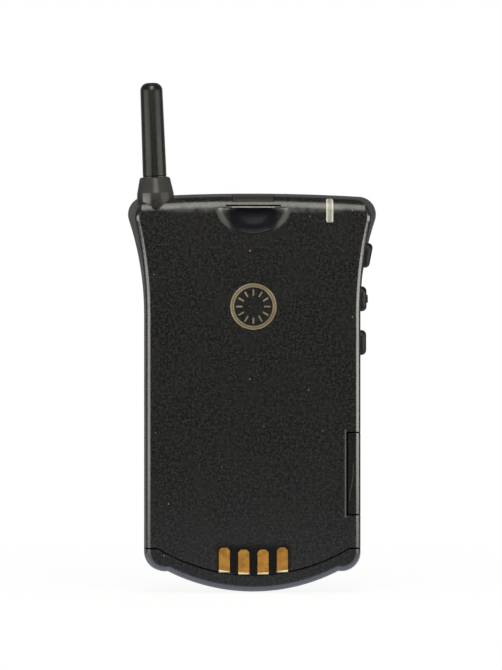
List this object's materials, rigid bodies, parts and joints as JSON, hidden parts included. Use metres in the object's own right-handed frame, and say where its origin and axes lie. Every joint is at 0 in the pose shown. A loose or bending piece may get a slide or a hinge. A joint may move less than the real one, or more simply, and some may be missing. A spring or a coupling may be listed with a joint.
{
  "type": "flip phone",
  "caption": "Compact flip phone, closed, with a pull-out antenna, hinged lid carrying a removable battery, keypad, side keys and gold contacts on its back.",
  "frame": {"origin": "middle of the thickness and width, at the lowest point of the chin", "axes": "+Z along the phone towards the antenna, +X to the right seen from the back, -Y out of the back of the keypad half, +Y out of the battery"},
  "size_m": [0.0586, 0.02, 0.12],
  "materials": {
    "housing_plastic": "near-black satin plastic with a fine spark texture",
    "cap_plastic": "near-black satin plastic",
    "catch_plastic": "matte black plastic",
    "light_plastic": "translucent off-white plastic",
    "emblem_metal": "bronze-gold foil",
    "contact_metal": "gold plate",
    "inner_plastic": "black moulded plastic",
    "connector_metal": "stamped steel",
    "lens_plastic": "clear hard-coated window",
    "display_glass": "grey-green liquid crystal",
    "silicone": "translucent grey silicone",
    "board_laminate": "green solder mask",
    "component_plastic": "moulded chip packages",
    "shield_metal": "tinned steel",
    "antenna_rubber": "black rubber",
    "antenna_metal": "nickel-titanium wire",
    "bush_metal": "nickel plate",
    "key_plastic": "black plastic",
    "key_rubber": "charcoal rubber with pale legends",
    "card_plastic": "white card plastic with a gold chip pad",
    "steel": "steel",
    "weight_metal": "tungsten alloy, stated here as steel",
    "flex_film": "amber polyimide film",
    "cell_metal": "cell can in a wrap",
    "switch_metal": "tactile switches"
  },
  "bodies": {
    "base": {"rear_housing": "housing_plastic", "bottom_cap": "cap_plastic", "front_housing": "housing_plastic", "latch_catch": "catch_plastic", "indicator_light_pipe": "light_plastic", "emblem_ring": "emblem_metal", "charging_contacts": "contact_metal", "contact_block": "inner_plastic", "accessory_connector": "connector_metal", "microphone": "inner_plastic", "display_lens": "lens_plastic", "display_module": "display_glass", "display_frame": "inner_plastic", "keypad_mat": "silicone", "main_board": "board_laminate", "rf_shield": "shield_metal", "board_components": "component_plastic", "side_switches": "switch_metal", "antenna_bushing": "bush_metal", "antenna_guide_tube": "inner_plastic", "vibrator_motor": "steel", "sim_socket": "inner_plastic", "case_screws": "steel", "hinge_pin": "steel", "hinge_flex": "flex_film"},
    "antenna": {"antenna_rod": "antenna_metal", "antenna_sleeve": "antenna_rubber"},
    "volume_down_key": {"volume_down_key": "key_plastic"},
    "smart_key": {"smart_key": "key_plastic"},
    "volume_up_key": {"volume_up_key": "key_plastic"},
    "card_tray": {"sim_tray": "housing_plastic", "sim_card": "card_plastic"},
    "vibrator_weight": {"vibrator_weight": "weight_metal"},
    "lid": {"lid_inner_housing": "housing_plastic", "lid_outer_housing": "housing_plastic", "earpiece_speaker": "inner_plastic", "lid_contacts": "contact_metal", "lid_screws": "steel", "hinge_cartridge": "steel"},
    "battery": {"battery_case": "housing_plastic", "battery_cover": "housing_plastic", "battery_cell": "cell_metal", "battery_contacts": "contact_metal", "latch_spring": "steel"},
    "battery_latch": {"battery_latch": "key_plastic"},
    "key_star": {"key_star": "key_rubber"},
    "key_0": {"key_0": "key_rubber"},
    "key_hash": {"key_hash": "key_rubber"},
    "key_7": {"key_7": "key_rubber"},
    "key_8": {"key_8": "key_rubber"},
    "key_9": {"key_9": "key_rubber"},
    "key_4": {"key_4": "key_rubber"},
    "key_5": {"key_5": "key_rubber"},
    "key_6": {"key_6": "key_rubber"},
    "key_1": {"key_1": "key_rubber"},
    "key_2": {"key_2": "key_rubber"},
    "key_3": {"key_3": "key_rubber"},
    "key_clear": {"key_clear": "key_rubber"},
    "key_menu": {"key_menu": "key_rubber"},
    "key_call": {"key_call": "key_rubber"}
  },
  "joints": [
    {"name": "antenna_slide", "type": "slide", "parent": "base", "child": "antenna", "axis": [-0.0384, 0, 0.9993], "range_m": [0, 0.072]},
    {"name": "battery_lift_off", "type": "slide", "parent": "lid", "child": "battery", "axis": [0, 1, 0], "range_m": [0, 0.006]},
    {"name": "battery_latch_slide", "type": "slide", "parent": "battery", "child": "battery_latch", "axis": [0, 0, 1], "range_m": [0, 0.0015], "stiffness_N_per_m": 200, "springref_m": -0.0005, "deforming": ["latch_spring"]},
    {"name": "card_tray_slide", "type": "slide", "parent": "base", "child": "card_tray", "axis": [1, 0, 0], "range_m": [0, 0.024]},
    {"name": "edge_key_lower_press", "type": "slide", "parent": "base", "child": "volume_down_key", "axis": [-1, 0, 0], "range_m": [0, 0.0006], "stiffness_N_per_m": 400, "springref_m": -0.0005},
    {"name": "edge_key_middle_press", "type": "slide", "parent": "base", "child": "smart_key", "axis": [-1, 0, 0], "range_m": [0, 0.0006], "stiffness_N_per_m": 400, "springref_m": -0.0005},
    {"name": "edge_key_upper_press", "type": "slide", "parent": "base", "child": "volume_up_key", "axis": [-0.9816, 0, 0.1908], "range_m": [0, 0.0006], "stiffness_N_per_m": 400, "springref_m": -0.0005},
    {"name": "lid_hinge", "type": "hinge", "parent": "base", "child": "lid", "pos_m": [0, 0.005, 0.0884], "axis": [1, 0, 0], "range_deg": [0, 150]},
    {"name": "motor_weight_spin", "type": "hinge", "parent": "base", "child": "vibrator_weight", "pos_m": [0, -0.0061, 0.026], "axis": [1, 0, 0], "continuous": true},
    {"name": "pad_key_star_press", "type": "slide", "parent": "base", "child": "key_star", "axis": [0, -1, 0], "range_m": [0, 0.0005], "stiffness_N_per_m": 400, "springref_m": -0.0004},
    {"name": "pad_key_0_press", "type": "slide", "parent": "base", "child": "key_0", "axis": [0, -1, 0], "range_m": [0, 0.0005], "stiffness_N_per_m": 400, "springref_m": -0.0004},
    {"name": "pad_key_hash_press", "type": "slide", "parent": "base", "child": "key_hash", "axis": [0, -1, 0], "range_m": [0, 0.0005], "stiffness_N_per_m": 400, "springref_m": -0.0004},
    {"name": "pad_key_7_press", "type": "slide", "parent": "base", "child": "key_7", "axis": [0, -1, 0], "range_m": [0, 0.0005], "stiffness_N_per_m": 400, "springref_m": -0.0004},
    {"name": "pad_key_8_press", "type": "slide", "parent": "base", "child": "key_8", "axis": [0, -1, 0], "range_m": [0, 0.0005], "stiffness_N_per_m": 400, "springref_m": -0.0004},
    {"name": "pad_key_9_press", "type": "slide", "parent": "base", "child": "key_9", "axis": [0, -1, 0], "range_m": [0, 0.0005], "stiffness_N_per_m": 400, "springref_m": -0.0004},
    {"name": "pad_key_4_press", "type": "slide", "parent": "base", "child": "key_4", "axis": [0, -1, 0], "range_m": [0, 0.0005], "stiffness_N_per_m": 400, "springref_m": -0.0004},
    {"name": "pad_key_5_press", "type": "slide", "parent": "base", "child": "key_5", "axis": [0, -1, 0], "range_m": [0, 0.0005], "stiffness_N_per_m": 400, "springref_m": -0.0004},
    {"name": "pad_key_6_press", "type": "slide", "parent": "base", "child": "key_6", "axis": [0, -1, 0], "range_m": [0, 0.0005], "stiffness_N_per_m": 400, "springref_m": -0.0004},
    {"name": "pad_key_1_press", "type": "slide", "parent": "base", "child": "key_1", "axis": [0, -1, 0], "range_m": [0, 0.0005], "stiffness_N_per_m": 400, "springref_m": -0.0004},
    {"name": "pad_key_2_press", "type": "slide", "parent": "base", "child": "key_2", "axis": [0, -1, 0], "range_m": [0, 0.0005], "stiffness_N_per_m": 400, "springref_m": -0.0004},
    {"name": "pad_key_3_press", "type": "slide", "parent": "base", "child": "key_3", "axis": [0, -1, 0], "range_m": [0, 0.0005], "stiffness_N_per_m": 400, "springref_m": -0.0004},
    {"name": "pad_key_clear_press", "type": "slide", "parent": "base", "child": "key_clear", "axis": [0, -1, 0], "range_m": [0, 0.0005], "stiffness_N_per_m": 400, "springref_m": -0.0004},
    {"name": "pad_key_menu_press", "type": "slide", "parent": "base", "child": "key_menu", "axis": [0, -1, 0], "range_m": [0, 0.0005], "stiffness_N_per_m": 400, "springref_m": -0.0004},
    {"name": "pad_key_call_press", "type": "slide", "parent": "base", "child": "key_call", "axis": [0, -1, 0], "range_m": [0, 0.0005], "stiffness_N_per_m": 400, "springref_m": -0.0004}
  ]
}
